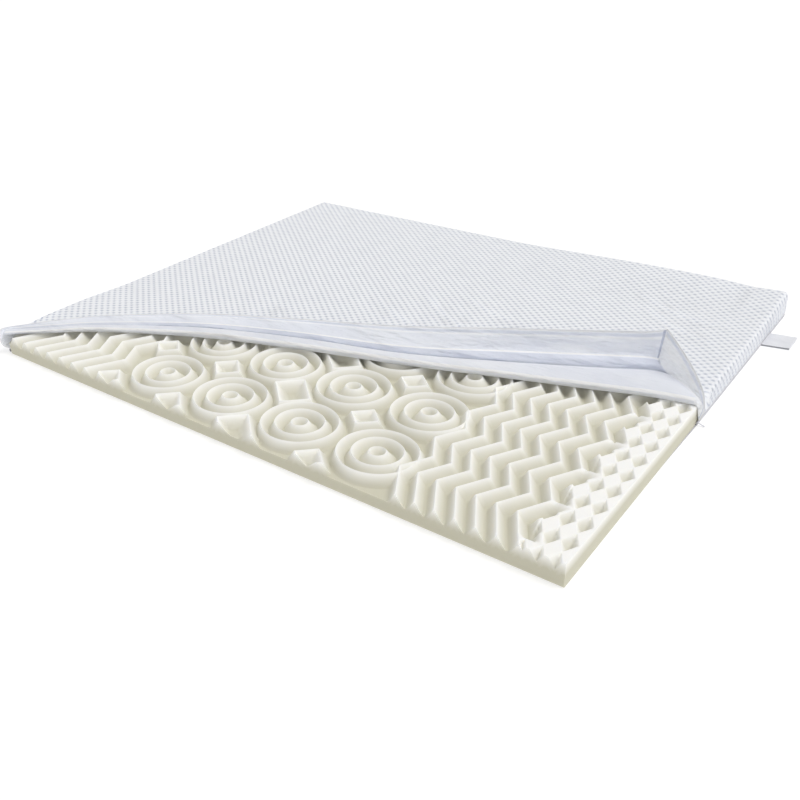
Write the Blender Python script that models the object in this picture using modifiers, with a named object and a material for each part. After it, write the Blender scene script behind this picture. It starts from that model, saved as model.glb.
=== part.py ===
"""A mattress topper: convoluted foam in a zipped knit cover, with the cover's front corner turned back.

Metres, +Z up, with the origin at the middle of the underside. The constants and tables below give
places from the topper's left front corner, x along its front side and y towards its back, and heights
from the underside. The front corner of the cover is the one at x = LENGTH, y = 0.
"""

import math

import bmesh
import bpy
from mathutils import Vector
from mathutils.geometry import delaunay_2d_cdt

LENGTH = 2.0
WIDTH = 1.6
GAP = 0.0003

# The plain lower half of the cover.
BASE_THICK = 0.0015
BASE_RIM_TOP = 0.008
BASE_TUCK = 0.014

# The foam slab.
FOAM_INSET = 0.004
FOAM_THICK = 0.0635
FOAM_BOTTOM = BASE_THICK + GAP
FOAM_TOP = FOAM_BOTTOM + FOAM_THICK
FOAM_ROUND = 0.016
FOAM_CORNER = 0.024

# The relief of the foam's top: the deepest groove, and how far behind the fold it goes on.
GROOVE_DEEP = 0.032
RELIEF_UNDER_FLAP = 0.09
RELIEF_FADE = 0.02

# Ring motifs, in columns along x and rows along y. Radii are shares of half a pitch.
RING_X = 0.648
RING_Y = 0.127
RING_PITCH_X = 0.257
RING_PITCH_Y = 0.2275
RING_COLUMNS = 4
RING_ROWS = 3
RING_SIDES = 22
RING_PROFILE = (  # radius, share of the deepest groove
    (0.00, 0.50),
    (0.22, 0.03),
    (0.38, 0.90),
    (0.54, 0.00),
    (0.69, 0.90),
    (0.85, 0.00),
    (0.99, 0.95),
)

# Square frames round a pit stand between the motifs, turned by half a right angle. There is a row for
# the gap left of each column of motifs, with half the frame's size along its two directions, in the
# same shares: the one that rises to the right in plan, and the one that falls.
FRAMES = (
    (0.25, 0.25),
    (0.27, 0.30),
    (0.34, 0.47),
    (0.25, 0.25),
)
FRAME_FOOT = 0.16
FRAME_FLOOR = 0.95
PIT_SLOPE = 0.25
PIT_DEEP = 0.75

# Zigzag ribs run along y and swing along x. Both fields count their ribs from the left.
ZIG_SWING = 0.045
ZIG_STEP = 0.0755
ZIG_Y = 0.031
LEFT_RIB_X = 0.068
LEFT_RIB_PITCH = 0.061
RIGHT_RIB_X = 1.502
RIGHT_RIB_PITCH = 0.0538
RIBS = 7

# Dimples fill the strip between the last rib and the plain rim of the right side.
DIMPLE_X = 1.971
DIMPLE_Y = 0.070
DIMPLE_PITCH_X = 0.0425
DIMPLE_PITCH_Y = 0.0735
DIMPLE_COLUMNS = 3
DIMPLE_DEEP = 0.9
TURN_SHARE = 0.25  # of the swing, over which the groove beside the last rib runs out

# The knit upper half of the cover. Its heights are those of the middle of its thickness.
COVER_THICK = 0.002
COVER_TOP = FOAM_TOP + GAP + COVER_THICK / 2
COVER_ROUND = 0.014
WALL_BOTTOM = 0.0149
WALL_INSET = COVER_THICK / 2
COVER_ROWS = 9
EDGE_ROW = 0.022
ROLL_ROWS = 5
COLUMNS_PER_SECTION = 3
END_COLUMN = 0.12
SAG_HIGH = 0.003

# Where the cover turns back, a row for each section from the left corner to the front corner:
# the front of the fold and its radius, the trough behind it, the crease where the side wall
# begins, and the free edge of the standing side wall.
TURNED = (
    # fold x, fold y, roll, foot x, foot y, foot z, crease x, y, z, edge x, y, z
    (0.014, 0.004, 0.0050, 0.014, 0.026, 0.0760, 0.015, 0.038, 0.0765, 0.018, 0.054, 0.0790),
    (0.130, 0.089, 0.0060, 0.120, 0.112, 0.0755, 0.112, 0.124, 0.0780, 0.100, 0.139, 0.0840),
    (0.262, 0.182, 0.0080, 0.247, 0.208, 0.0750, 0.238, 0.222, 0.0800, 0.222, 0.243, 0.0900),
    (0.569, 0.327, 0.0100, 0.532, 0.368, 0.0760, 0.524, 0.380, 0.0850, 0.500, 0.408, 0.1000),
    (0.893, 0.432, 0.0110, 0.851, 0.481, 0.0770, 0.845, 0.492, 0.0900, 0.814, 0.528, 0.1120),
    (1.205, 0.517, 0.0110, 1.171, 0.566, 0.0770, 1.168, 0.576, 0.0950, 1.144, 0.607, 0.1400),
    (1.487, 0.607, 0.0110, 1.444, 0.680, 0.0770, 1.434, 0.697, 0.1000, 1.423, 0.716, 0.1600),
    (1.752, 0.690, 0.0110, 1.700, 0.800, 0.0770, 1.685, 0.828, 0.1000, 1.679, 0.836, 0.1700),
    (1.879, 0.730, 0.0110, 1.820, 0.862, 0.0770, 1.800, 0.884, 0.1000, 1.790, 0.888, 0.1750),
    (1.986, 0.752, 0.0110, 1.868, 0.862, 0.0800, 1.833, 0.893, 0.0980, 1.840, 0.915, 0.1830),
)

# The side wall's free edge round the two ends of the fold, from the last hanging point to the
# crease of the turned-back wall. At each end the wall turns over from hanging to standing.
LEFT_TURN = (  # share of the way, edge x, y, z
    (0.00, 0.001, 0.030, WALL_BOTTOM),
    (0.20, 0.001, 0.010, 0.018),
    (0.40, 0.003, -0.006, 0.034),
    (0.60, 0.002, -0.008, 0.056),
    (0.80, -0.004, 0.004, 0.0800),
    (1.00, 0.018, 0.054, 0.0790),
)
RIGHT_TURN = (
    (0.00, 1.999, 0.800, WALL_BOTTOM),
    (0.25, 1.999, 0.778, WALL_BOTTOM),
    (0.50, 2.008, 0.768, 0.030),
    (0.62, 2.011, 0.767, 0.066),
    (0.75, 1.992, 0.785, 0.108),
    (0.88, 1.925, 0.845, 0.150),
    (1.00, 1.840, 0.915, 0.183),
)

# Corded edges, the zip's slider and pull, and the elastic loop.
CORD = 0.003
CORD_GAP = 0.0006
SLIDER = (0.004, 0.009, 0.004)
SLIDER_Z = 0.0085
PULL = (0.020, 0.005, 0.0015)
PULL_TILT = math.radians(20)
STRAP_Y = 1.332
STRAP_WIDTH = 0.090
STRAP_REACH = 0.078
STRAP_THICK = 0.0015
STRAP_OPEN = 0.0035
STRAP_SLANT = 0.014

COLOURS = {  # colour, roughness
    "foam": ((0.86, 0.84, 0.73, 1.0), 0.9),
    "knit": ((0.86, 0.87, 0.90, 1.0), 0.8),
    "plain cloth": ((0.80, 0.81, 0.85, 1.0), 0.8),
    "elastic": ((0.78, 0.79, 0.82, 1.0), 0.7),
    "zip": ((0.88, 0.88, 0.90, 1.0), 0.4),
}


def clear_scene():
    for obj in list(bpy.data.objects):
        bpy.data.objects.remove(obj, do_unlink=True)


def material(name):
    found = bpy.data.materials.get(name)
    if found:
        return found
    made = bpy.data.materials.new(name)
    made.use_nodes = True
    shader = made.node_tree.nodes["Principled BSDF"]
    colour, roughness = COLOURS[name]
    shader.inputs["Base Color"].default_value = colour
    shader.inputs["Roughness"].default_value = roughness
    shader.inputs["Metallic"].default_value = 0.0
    return made


def centred(point):
    """A point given from the left front corner, in the part's own frame."""
    return Vector(point) - Vector((LENGTH / 2, WIDTH / 2, 0))


def add_object(name, data, finish, collection):
    obj = bpy.data.objects.new(name, data)
    data.materials.append(material(finish))
    collection.objects.link(obj)
    return obj


def object_from_bmesh(name, bm, finish, collection):
    mesh = bpy.data.meshes.new(name)
    bm.to_mesh(mesh)
    bm.free()
    return add_object(name, mesh, finish, collection)


def thicken(obj, thick):
    modifier = obj.modifiers.new("Thickness", "SOLIDIFY")
    modifier.thickness = thick
    modifier.offset = 0.0
    modifier.use_quality_normals = True


def read_table(rows, at):
    """The row of a table at a place in its first column, by straight lines between rows."""
    if at <= rows[0][0]:
        return rows[0][1:]
    for low, high in zip(rows, rows[1:]):
        if at <= high[0]:
            share = (at - low[0]) / (high[0] - low[0])
            return tuple(a + (b - a) * share for a, b in zip(low[1:], high[1:]))
    return rows[-1][1:]


def smooth_row(rows, place):
    """A row between the rows of a table, on smooth curves through all of them."""
    first = min(int(place), len(rows) - 2)
    t = place - first
    before = rows[max(first - 1, 0)]
    after = rows[min(first + 2, len(rows) - 1)]
    return tuple(
        0.5 * (2 * b + (c - a) * t + (2 * a - 5 * b + 4 * c - d) * t**2 + (3 * b - a - 3 * c + d) * t**3)
        for a, b, c, d in zip(before, rows[first], rows[first + 1], after)
    )


# ---------------------------------------------------------------- foam relief


def zig(y):
    """How far the zigzag ribs stand to the right at y. Past their first turn they run straight on."""
    turn = (y - ZIG_Y) / ZIG_STEP
    return ZIG_SWING * (1 - turn if turn < 0 else abs(turn % 2 - 1))


def ring_share(x, y):
    """Groove depth among the ring motifs, as a share of the deepest."""
    column = min(max(round((x - RING_X) / RING_PITCH_X), 0), RING_COLUMNS - 1)
    row = max(round((y - RING_Y) / RING_PITCH_Y), 0)
    across = (x - RING_X - column * RING_PITCH_X) / (RING_PITCH_X / 2)
    along = (y - RING_Y - row * RING_PITCH_Y) / (RING_PITCH_Y / 2)
    return read_table(RING_PROFILE, math.hypot(across, along))[0]


def frame_share(x, y):
    """Groove depth at the frames between the motifs, with a sharp rim round each pit."""
    gap = min(max(round((x - RING_X) / RING_PITCH_X + 0.5), 0), len(FRAMES) - 1)
    row = round((y - RING_Y) / RING_PITCH_Y + 0.5)
    across = (x - RING_X - (gap - 0.5) * RING_PITCH_X) / (RING_PITCH_X / 2)
    along = (y - RING_Y - (row - 0.5) * RING_PITCH_Y) / (RING_PITCH_Y / 2)
    rising, falling = FRAMES[gap]
    past_rim = max(abs(across + along) / math.sqrt(2) - rising, abs(across - along) / math.sqrt(2) - falling)
    if past_rim > 0:
        return FRAME_FLOOR * min(past_rim / FRAME_FOOT, 1.0)
    return PIT_DEEP * min(-past_rim / PIT_SLOPE, 1.0)


def rib_share(place):
    """Groove depth at a place counted in ribs, with sharp ribs at whole numbers."""
    rib = min(max(round(place), 0), RIBS - 1)
    return min(2 * abs(place - rib), 1.0)


def dimple_share(x, y):
    """Groove depth among the dimples: pits like upturned pyramids, which touch at their corners."""
    column = (x - DIMPLE_X) / DIMPLE_PITCH_X
    row = (y - DIMPLE_Y) / DIMPLE_PITCH_Y
    from_middle = 2 * abs(column - round(column)) + 2 * abs(row - round(row))
    return DIMPLE_DEEP * max(1 - from_middle, 0.0)


def last_groove(place, y):
    """The groove right of the last rib, which runs out at each of the rib's right-hand turns."""
    from_turn = (1 - zig(y) / ZIG_SWING) / TURN_SHARE
    return DIMPLE_DEEP * max(1 - 2 * abs(place - RIBS + 0.5), 0.0) * min(from_turn, 1.0)


def right_share(x, y):
    """Groove depth among the right ribs and, past the last of them, the dimples and the plain rim."""
    place = (x - zig(y) - RIGHT_RIB_X) / RIGHT_RIB_PITCH
    if x > DIMPLE_X + DIMPLE_PITCH_X / 2:
        return 0.0
    if place > RIBS - 1:
        return min(rib_share(place), max(dimple_share(x, y), last_groove(place, y)))
    return rib_share(place)


def left_share(x, y):
    return rib_share((x - ZIG_SWING + zig(y) - LEFT_RIB_X) / LEFT_RIB_PITCH)


def fold_y(x):
    """The front of the cover's fold."""
    return read_table([row[:2] for row in TURNED], x)[0]


def relief_end(x):
    return fold_y(x) + RELIEF_UNDER_FLAP


def rounding(distance):
    """How far a rounded edge has dropped, at a distance inward from it."""
    if distance >= FOAM_ROUND:
        return 0.0
    return FOAM_ROUND - math.sqrt(FOAM_ROUND**2 - (FOAM_ROUND - max(distance, 0.0)) ** 2)


def inward(x, y):
    """Distance from the foam's covered sides, whose upright corners are rounded."""
    side = min(x, LENGTH - x) - FOAM_INSET
    back = WIDTH - FOAM_INSET - y
    if side < FOAM_CORNER and back < FOAM_CORNER:
        return FOAM_CORNER - math.hypot(FOAM_CORNER - side, FOAM_CORNER - back)
    return min(side, back)


def foam_height(x, y):
    depth = min(ring_share(x, y), frame_share(x, y), left_share(x, y), right_share(x, y))
    shown = min(max((relief_end(x) - y) / RELIEF_FADE, 0.0), 1.0)
    covered = min(max((y - fold_y(x) - 0.02) / 0.02, 0.0), 1.0)
    drop = rounding(inward(x, y)) * covered
    return FOAM_TOP - max(GROOVE_DEEP * depth * shown, drop)


def ring_lines():
    """The crests and grooves of the ring motifs, as lines of plan points."""
    turn = 2 * math.pi / RING_SIDES
    for column in range(RING_COLUMNS):
        for row in range(RING_ROWS):
            x = RING_X + column * RING_PITCH_X
            y = RING_Y + row * RING_PITCH_Y
            for radius, _ in RING_PROFILE[1:]:
                wide, deep = radius * RING_PITCH_X / 2, radius * RING_PITCH_Y / 2
                angles = [turn * k for k in range(RING_SIDES + 1)]
                yield [(x + wide * math.cos(angle), y + deep * math.sin(angle)) for angle in angles]


def frame_lines():
    """The rim of each frame, and the edges of the floor of its pit."""
    corners = ((1, 1), (1, -1), (-1, -1), (-1, 1), (1, 1))
    for gap, (rising, falling) in enumerate(FRAMES):
        x = RING_X + (gap - 0.5) * RING_PITCH_X
        for row in range(RING_ROWS + 1):
            y = RING_Y + (row - 0.5) * RING_PITCH_Y
            for inset in (0.0, min(PIT_SLOPE, rising - 0.02)):
                line = []
                for side, end in corners:
                    up, down = side * (rising - inset), end * (falling - inset)
                    across, along = (up + down) / math.sqrt(2), (up - down) / math.sqrt(2)
                    line.append((x + across * RING_PITCH_X / 2, y + along * RING_PITCH_Y / 2))
                yield line


def rib_lines():
    """Every sharp rib and the middle of every groove between two ribs."""
    ys = [ZIG_Y + turn * ZIG_STEP for turn in range(-1, 13)]
    for half in range(2 * RIBS):
        left = LEFT_RIB_X + half / 2 * LEFT_RIB_PITCH
        right = RIGHT_RIB_X + half / 2 * RIGHT_RIB_PITCH
        yield [(left + ZIG_SWING - zig(y), y) for y in ys if y < fold_y(left) + 0.2]
        yield [(right + zig(y), y) for y in ys]


def dimple_lines():
    """The four edges of each dimple, and a line from its middle to a corner."""
    wide, deep = DIMPLE_PITCH_X / 2, DIMPLE_PITCH_Y / 2
    for column in range(DIMPLE_COLUMNS):
        x = DIMPLE_X - column * DIMPLE_PITCH_X
        for row in range(-1, 12):
            y = DIMPLE_Y + row * DIMPLE_PITCH_Y
            yield [(x, y), (x + wide, y), (x, y + deep), (x - wide, y), (x, y - deep), (x + wide, y)]


def corner_arc(x, y, radius, start):
    """Four points of a quarter circle about a corner's own centre, from a start in quarter turns."""
    angles = [(start + k / 3) * math.pi / 2 for k in range(4)]
    return [(x + radius * math.cos(a), y + radius * math.sin(a)) for a in angles]


def covered_side(distance, start, end):
    """A line that far inside the covered sides: from the right side, round the back, to the left."""
    centre = FOAM_INSET + FOAM_CORNER
    radius = FOAM_CORNER - distance
    right = corner_arc(LENGTH - centre, WIDTH - centre, radius, 0)
    left = corner_arc(centre, WIDTH - centre, radius, 1)
    return [(right[0][0], start)] + right + left + [(left[-1][0], end)]


def foam_outline():
    """The slab seen from above: sharp at the front corner, rounded where the cover goes round it."""
    left, right, front = FOAM_INSET, LENGTH - FOAM_INSET, FOAM_INSET
    centre = FOAM_INSET + FOAM_CORNER
    hooked = corner_arc(centre, centre, FOAM_CORNER, 2)
    return [(right, front)] + covered_side(0.0, relief_end(right), relief_end(left)) + hooked


def plateau_lines():
    """Where the relief ends under the cover, and the steps of the rounded top edge."""
    left, right = FOAM_INSET, LENGTH - FOAM_INSET
    yield [(x, relief_end(x)) for x in (left, 0.13, 0.26, 0.57, 0.89, 1.2, 1.49, 1.75, right)]
    for distance in (0.3 * FOAM_ROUND, FOAM_ROUND):
        yield covered_side(distance, relief_end(right), relief_end(left))


def foam_lines():
    left, right = FOAM_INSET, LENGTH - FOAM_INSET
    motifs = [*ring_lines(), *frame_lines(), *rib_lines(), *dimple_lines()]
    for line in motifs:
        for a, b in zip(line, line[1:]):
            if all(left - 0.05 < p[0] < right + 0.05 and p[1] < relief_end(p[0]) for p in (a, b)):
                yield [a, b]
    yield from plateau_lines()
    outline = foam_outline()
    yield outline + outline[:1]


def inside(point, outline):
    """Whether a point lies in an outline whose corners all turn left."""
    pairs = zip(outline, outline[1:] + outline[:1])
    return all((b - a).cross(point - a) > -1e-9 for a, b in pairs)


def make_foam(collection):
    """One slab: its top is a net of the relief's crest and groove lines, its sides are cut straight."""
    points, edges = [], []
    for line in foam_lines():
        first = len(points)
        points += [Vector(p) for p in line]
        edges += [(first + k, first + k + 1) for k in range(len(line) - 1)]
    net = delaunay_2d_cdt(points, edges, [], 0, 1e-4)
    bm = bmesh.new()
    outline = [Vector(p) for p in foam_outline()]
    verts = {}
    for face in net[2]:
        middle = sum((net[0][k] for k in face), Vector((0, 0))) / 3
        if not inside(middle, outline):
            continue
        for k in face:
            if k not in verts:
                x, y = net[0][k]
                verts[k] = bm.verts.new(centred((x, y, foam_height(x, y))))
        bm.faces.new([verts[k] for k in face])
    rim = [edge for edge in bm.edges if edge.is_boundary]
    sides = bmesh.ops.extrude_edge_only(bm, edges=rim)["geom"]
    for vert in (item for item in sides if isinstance(item, bmesh.types.BMVert)):
        vert.co.z = FOAM_BOTTOM
    open_edges = [edge for edge in bm.edges if edge.is_boundary]
    bmesh.ops.holes_fill(bm, edges=open_edges, sides=0)
    bmesh.ops.recalc_face_normals(bm, faces=bm.faces)
    return object_from_bmesh("foam_core", bm, "foam", collection)


# ---------------------------------------------------------------- the cover's upper half


def sag(x, y):
    """Soft unevenness of the cloth where it lies on the foam, always upwards."""
    swell = math.sin(5.1 * x + 2.3 * y + 0.4) * math.sin(3.7 * y - 1.9 * x + 1.1)
    inner = min(x, LENGTH - x, WIDTH - y, 0.15) / 0.15
    return SAG_HIGH * max(swell, 0.0) * inner


def section(place):
    """The turned-back cloth at a section: named points, and the direction back across the fold."""
    row = smooth_row(TURNED, place)
    step = 0.05
    ahead = smooth_row(TURNED, min(place + step, len(TURNED) - 1))
    behind = smooth_row(TURNED, max(place - step, 0))
    along = Vector((ahead[0] - behind[0], ahead[1] - behind[1], 0)).normalized()
    back = Vector((-along.y, along.x, 0))
    if place in (0, len(TURNED) - 1):
        back = Vector((0, 1, 0))
    roll = row[2]
    return {
        "roll": roll,
        "back": back,
        "centre": Vector((row[0], row[1], COVER_TOP + roll)) + back * roll,
        "foot": Vector(row[3:6]),
        "crease": Vector(row[6:9]),
        "edge": Vector(row[9:12]),
    }


def panel_column(place):
    """Points of the top panel from the back edge, over the foam, round the fold and to the crease."""
    here = section(place)
    start = here["centre"] - Vector((0, 0, here["roll"]))
    x = min(max(start.x, COVER_ROUND), LENGTH - COVER_ROUND)
    far = Vector((x, WIDTH - COVER_ROUND, COVER_TOP))
    shares = [0.0, EDGE_ROW / (far - start).length] + [row / COVER_ROWS for row in range(1, COVER_ROWS)]
    column = []
    for share in shares:
        point = far.lerp(start, share)
        point.z += sag(point.x, point.y)
        column.append(point)
    for step in range(ROLL_ROWS + 1):
        angle = math.pi * (step / ROLL_ROWS - 0.5)
        offset = -here["back"] * math.cos(angle) + Vector((0, 0, math.sin(angle)))
        column.append(here["centre"] + offset * here["roll"])
    top = column[-1]
    column.append(top.lerp(here["foot"], 0.5) + Vector((0, 0, 0.15 * here["roll"])))
    column.append(here["foot"])
    column.append(here["foot"].lerp(here["crease"], 0.6))
    column.append(here["crease"])
    return column


def hanging(point, outward):
    """The outer top corner and the bottom edge of a wall that hangs from a point of the panel."""
    corner = point + outward * (COVER_ROUND - WALL_INSET)
    return corner, Vector((corner.x, corner.y, WALL_BOTTOM))


def turn_wall(rows, share, point, outward):
    """Corner and free edge of the wall where it turns over at an end of the fold."""
    edge = Vector(read_table(rows, share))
    hang = point + outward * (COVER_ROUND - WALL_INSET)
    stand = point.lerp(edge, 0.25)
    return hang.lerp(stand, share**2), edge


def boundary(panel, places):
    """The panel's edge in order: (point, corner of the wall, free edge of the wall) for each point."""
    last_column, last_row = len(panel) - 1, len(panel[0]) - 1
    turn_from = COVER_ROWS
    turns = last_row - turn_from
    loop = []
    for i in range(last_column):
        outward = Vector((-1, 1, 0)).normalized() if i == 0 else Vector((0, 1, 0))
        loop.append((panel[i][0], *hanging(panel[i][0], outward)))
    for j in range(last_row):
        point = panel[last_column][j]
        if j <= turn_from:
            outward = Vector((1, 1, 0)).normalized() if j == 0 else Vector((1, 0, 0))
            loop.append((point, *hanging(point, outward)))
        else:
            share = (j - turn_from) / turns
            loop.append((point, *turn_wall(RIGHT_TURN, share, point, Vector((1, 0, 0)))))
    for i in range(last_column, 0, -1):
        here = section(places[i])
        ridge = here["crease"].lerp(here["edge"], 0.12) + here["back"] * 0.004
        loop.append((here["crease"], ridge, here["edge"]))
    for j in range(last_row, 0, -1):
        point = panel[0][j]
        if j <= turn_from:
            loop.append((point, *hanging(point, Vector((-1, 0, 0)))))
        else:
            share = (j - turn_from) / turns
            loop.append((point, *turn_wall(LEFT_TURN, share, point, Vector((-1, 0, 0)))))
    return loop


def wall_points(point, corner, edge):
    """A wall section from the panel's edge, round its soft corner, to its free edge."""
    reach = min((corner - point).length, (edge - corner).length / 2)
    start = corner + (point - corner).normalized() * reach if reach else corner
    end = corner + (edge - corner).normalized() * reach
    bend = [
        start * (1 - t) ** 2 + corner * 2 * t * (1 - t) + end * t**2
        for t in (1 / 3, 2 / 3, 1.0)
    ]
    return bend + [end.lerp(edge, 0.5), edge]


def cover_parts():
    """The panel's columns, and the wall's section at each point round its edge."""
    last = len(TURNED) - 1
    between = [k / COLUMNS_PER_SECTION for k in range(1, last * COLUMNS_PER_SECTION)]
    places = [0, END_COLUMN] + between + [last - END_COLUMN, last]
    panel = [panel_column(place) for place in places]
    loop = boundary(panel, places)
    return panel, [(point, wall_points(point, corner, edge)) for point, corner, edge in loop]


def make_cover_top(collection):
    """One cut of knit, with its top panel and its side walls, as it lies with its corner turned back."""
    panel, walls = cover_parts()
    bm = bmesh.new()
    grid = [[bm.verts.new(centred(point)) for point in column] for column in panel]
    for near, far in zip(grid, grid[1:]):
        for j in range(len(near) - 1):
            bm.faces.new((near[j], near[j + 1], far[j + 1], far[j]))
    last = len(grid) - 1
    rows = len(grid[0]) - 1
    rim = [grid[i][0] for i in range(last)]
    rim += [grid[last][j] for j in range(rows)]
    rim += [grid[i][rows] for i in range(last, 0, -1)]
    rim += [grid[0][j] for j in range(rows, 0, -1)]
    strips = [
        [start] + [bm.verts.new(centred(point)) for point in points]
        for start, (_, points) in zip(rim, walls)
    ]
    for near, far in zip(strips, strips[1:] + strips[:1]):
        for k in range(len(near) - 1):
            bm.faces.new((near[k], far[k], far[k + 1], near[k + 1]))
    bmesh.ops.recalc_face_normals(bm, faces=bm.faces)
    bmesh.ops.triangulate(bm, faces=bm.faces)
    obj = object_from_bmesh("cover_top", bm, "knit", collection)
    thicken(obj, COVER_THICK)
    obj.data.shade_smooth()
    return obj


# ---------------------------------------------------------------- lower half, cords, zip and strap


def add_cord(name, path, closed, collection):
    curve = bpy.data.curves.new(name, "CURVE")
    curve.dimensions = "3D"
    curve.bevel_depth = CORD / 2
    curve.bevel_resolution = 1
    curve.use_fill_caps = True
    spline = curve.splines.new("POLY")
    spline.points.add(len(path) - 1)
    for target, point in zip(spline.points, path):
        target.co = (*centred(point), 1)
    spline.use_cyclic_u = closed
    return add_object(name, curve, "plain cloth", collection)


def make_cover_piping(collection):
    """The corded edge of the upper half: it follows the wall's free edge all the way round."""
    _, walls = cover_parts()
    edges = [points[-1] for _, points in walls]
    path = []
    for before, (_, points), after in zip(edges[-1:] + edges, walls, edges[1:] + edges[:1]):
        along = (after - before).normalized()
        away = points[-1] - points[-2]
        away = (away - along * away.dot(along)).normalized()
        path.append(points[-1] + away * (CORD_GAP + CORD / 2))
    return add_cord("cover_piping", path, True, collection)


def closed_side_path(inset, height, start, end):
    """From the zip's end on the right side, round the back, to the left front corner."""
    corner = COVER_ROUND * 0.293
    left, right, back = inset, LENGTH - inset, WIDTH - inset
    plan = [
        (right, start),
        (right, back - COVER_ROUND),
        (right - corner, back - corner),
        (right - COVER_ROUND, back),
        (COVER_ROUND + left, back),
        (left + corner, back - corner),
        (left, back - COVER_ROUND),
        (left, end),
    ]
    return [Vector((x, y, height)) for x, y in plan]


def make_base_piping(collection):
    height = BASE_RIM_TOP + GAP + CORD / 2
    path = closed_side_path(CORD / 2, height, RIGHT_TURN[1][2], LEFT_TURN[1][2])
    return add_cord("base_piping", path, False, collection)


def make_cover_base(collection):
    """The plain sheet under the foam, turned up where the zip is closed and tucked under in front."""
    middle = BASE_THICK / 2
    rim = closed_side_path(middle, middle, RIGHT_TURN[1][2], LEFT_TURN[1][2])
    tucked = [Vector((BASE_TUCK, BASE_TUCK, middle)), Vector((LENGTH - BASE_TUCK, BASE_TUCK, middle))]
    bm = bmesh.new()
    verts = [bm.verts.new(centred(point)) for point in rim + tucked]
    bm.faces.new(verts)
    bm.edges.ensure_lookup_table()
    rim_edges = [bm.edges.get((a, b)) for a, b in zip(verts, verts[1 : len(rim)])]
    raised = bmesh.ops.extrude_edge_only(bm, edges=rim_edges)["geom"]
    for vert in (item for item in raised if isinstance(item, bmesh.types.BMVert)):
        vert.co.z = BASE_RIM_TOP
    bmesh.ops.recalc_face_normals(bm, faces=bm.faces)
    obj = object_from_bmesh("cover_base", bm, "plain cloth", collection)
    thicken(obj, BASE_THICK)
    return obj


def add_block(name, middle, size, finish, collection):
    bm = bmesh.new()
    bmesh.ops.create_cube(bm, size=1.0)
    bmesh.ops.scale(bm, vec=size, verts=bm.verts)
    bmesh.ops.bevel(bm, geom=bm.edges, offset=min(size) / 4, segments=1, affect="EDGES")
    obj = object_from_bmesh(name, bm, finish, collection)
    obj.location = centred(middle)
    return obj


def make_zip_end(collection):
    """The slider ends the closed stretch, against the lower cord, and its pull leans to the ground."""
    x = LENGTH - CORD / 2
    y = RIGHT_TURN[1][2] - CORD_GAP - SLIDER[1] / 2
    add_block("zip_slider", (x, y, SLIDER_Z), SLIDER, "zip", collection)
    start = x + SLIDER[0] / 2 + 2 * GAP
    reach = PULL[0] / 2
    middle = (start + reach * math.cos(PULL_TILT), y, SLIDER_Z - reach * math.sin(PULL_TILT))
    pull = add_block("zip_pull", middle, PULL, "zip", collection)
    pull.rotation_euler.y = PULL_TILT


def make_corner_strap(collection):
    """A flat elastic loop: out along the ground, round its end, and back a little above."""
    near = LENGTH + GAP
    low = STRAP_THICK / 2
    high = low + STRAP_THICK + STRAP_OPEN
    radius = (high - low) / 2
    profile = [(near, low), (near + 0.5 * STRAP_REACH, low), (near + STRAP_REACH, low)]
    for step in range(1, 5):
        angle = math.pi * (step / 5 - 0.5)
        bend = radius * math.cos(angle)
        profile.append((near + STRAP_REACH + bend, low + radius * (1 + math.sin(angle))))
    profile += [(near + STRAP_REACH, high), (near + 0.5 * STRAP_REACH, high), (near, high)]
    bm = bmesh.new()
    rows = []
    for x, z in profile:
        shift = STRAP_SLANT * (x - near) / STRAP_REACH
        ends = (STRAP_Y + shift, STRAP_Y + STRAP_WIDTH + shift)
        rows.append([bm.verts.new(centred((x, y, z))) for y in ends])
    for near_row, far_row in zip(rows, rows[1:]):
        bm.faces.new((near_row[0], near_row[1], far_row[1], far_row[0]))
    bmesh.ops.recalc_face_normals(bm, faces=bm.faces)
    obj = object_from_bmesh("corner_strap", bm, "elastic", collection)
    thicken(obj, STRAP_THICK)
    return obj


def main():
    clear_scene()
    collection = bpy.data.collections.new("mattress_topper")
    bpy.context.scene.collection.children.link(collection)
    make_foam(collection)
    make_cover_base(collection)
    make_cover_top(collection)
    make_cover_piping(collection)
    make_base_piping(collection)
    make_zip_end(collection)
    make_corner_strap(collection)


main()
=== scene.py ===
"""The looks of the mattress topper: foam relief, embossed cover with a corner turned back, cords and strap.

Metres, +Z up. Places are given from the left front corner, as in the part's own source, and centred()
moves them into the part's frame, whose origin is the middle of the underside.
"""

import math

import bmesh
import bpy
from mathutils import Matrix, Vector
from mathutils.geometry import delaunay_2d_cdt


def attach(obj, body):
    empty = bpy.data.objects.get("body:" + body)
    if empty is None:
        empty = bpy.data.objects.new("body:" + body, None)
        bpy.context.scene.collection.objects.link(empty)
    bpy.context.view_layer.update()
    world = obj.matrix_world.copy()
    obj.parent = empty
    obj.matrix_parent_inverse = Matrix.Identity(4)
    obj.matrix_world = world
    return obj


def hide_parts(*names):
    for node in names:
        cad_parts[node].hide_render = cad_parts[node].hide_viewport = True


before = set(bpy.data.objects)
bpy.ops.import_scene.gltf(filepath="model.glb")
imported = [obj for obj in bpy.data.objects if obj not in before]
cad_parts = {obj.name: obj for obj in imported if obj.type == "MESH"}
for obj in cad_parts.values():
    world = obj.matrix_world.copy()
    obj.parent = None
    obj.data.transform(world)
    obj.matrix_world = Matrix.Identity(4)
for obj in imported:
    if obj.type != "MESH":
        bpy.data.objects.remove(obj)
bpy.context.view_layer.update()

# ---- sizes shared with the solids

LENGTH = 2.0
WIDTH = 1.6
GAP = 0.0003
BASE_THICK = 0.0015
BASE_RIM_TOP = 0.008
BASE_TUCK = 0.014

FOAM_INSET = 0.004
FOAM_BOTTOM = BASE_THICK + GAP
FOAM_TOP = FOAM_BOTTOM + 0.0635
FOAM_ROUND = 0.016
FOAM_CORNER = 0.024
GROOVE_DEEP = 0.032
RELIEF_UNDER_FLAP = 0.055
RELIEF_FADE = 0.038

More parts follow.
